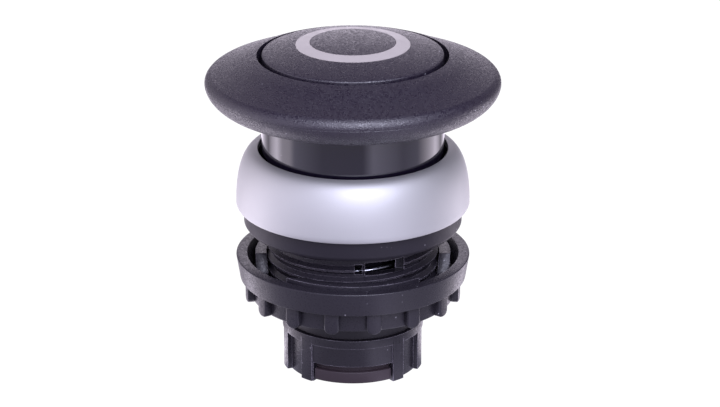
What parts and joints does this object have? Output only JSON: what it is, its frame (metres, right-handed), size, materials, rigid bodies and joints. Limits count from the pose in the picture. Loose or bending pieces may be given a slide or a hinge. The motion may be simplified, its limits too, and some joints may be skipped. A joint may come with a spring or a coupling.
{
  "type": "mushroom-head push button actuator",
  "caption": "Panel-mounted mushroom-head push button with a ring legend, sprung plunger, satin bezel, threaded shank and hand-tightened ring nut.",
  "frame": {"origin": "centre of the lower end of the bayonet collar, which the button stands on", "axes": "+Z is the press axis, from the lower end towards the mushroom cap; -Y is the front, where the shank's window is; +Y is the side with the locating key"},
  "size_m": [0.0372, 0.0372, 0.0435],
  "materials": {
    "cap_black": "fine-grained matt moulded plastic",
    "legend_grey": "smooth light grey inlaid plastic",
    "gloss_black": "glossy polished plastic",
    "shell_black": "satin moulded plastic",
    "dull_black": "dull, slightly warm grey-black plastic",
    "satin_silver": "satin titanium-coloured metallised finish",
    "black_rubber": "matt rubber, a little dusty",
    "bright_steel": "bright spring and screw steel"
  },
  "bodies": {
    "housing": {"housing": "shell_black", "locating_key": "shell_black", "wiper_seal": "black_rubber", "seal_retainer": "shell_black", "bezel_ring": "satin_silver", "panel_gasket": "black_rubber", "spring_seat": "bright_steel", "retaining_ring": "bright_steel", "guide_sleeve": "dull_black", "bayonet_collar": "shell_black", "return_spring": "bright_steel"},
    "plunger": {"mushroom_cap": "cap_black", "button_plate": "cap_black", "legend_ring": "legend_grey", "stem_sleeve": "gloss_black", "cap_screw": "bright_steel", "plunger": "shell_black", "plunger_foot": "dull_black", "stop_washer": "black_rubber"},
    "thrust_ring": {"thrust_ring": "shell_black"},
    "ring_nut": {"ring_nut": "shell_black"}
  },
  "joints": [
    {"name": "press", "type": "slide", "parent": "housing", "child": "plunger", "axis": [0, 0, -1], "range_m": [0, 0.005], "stiffness_N_per_m": 400, "springref_m": -0.006, "deforming": ["return_spring"]},
    {"name": "nut_travel", "type": "slide", "parent": "housing", "child": "thrust_ring", "axis": [0, 0, 1], "range_m": [-0.0021, 0.0029]},
    {"name": "nut_turn", "type": "hinge", "parent": "thrust_ring", "child": "ring_nut", "pos_m": [0, 0, 0.012], "axis": [0, 0, 1], "range_deg": [-505, 697]}
  ],
  "couplings": [
    {"joint": "nut_turn", "follows": "nut_travel", "rad_per_m": 4188.8}
  ]
}
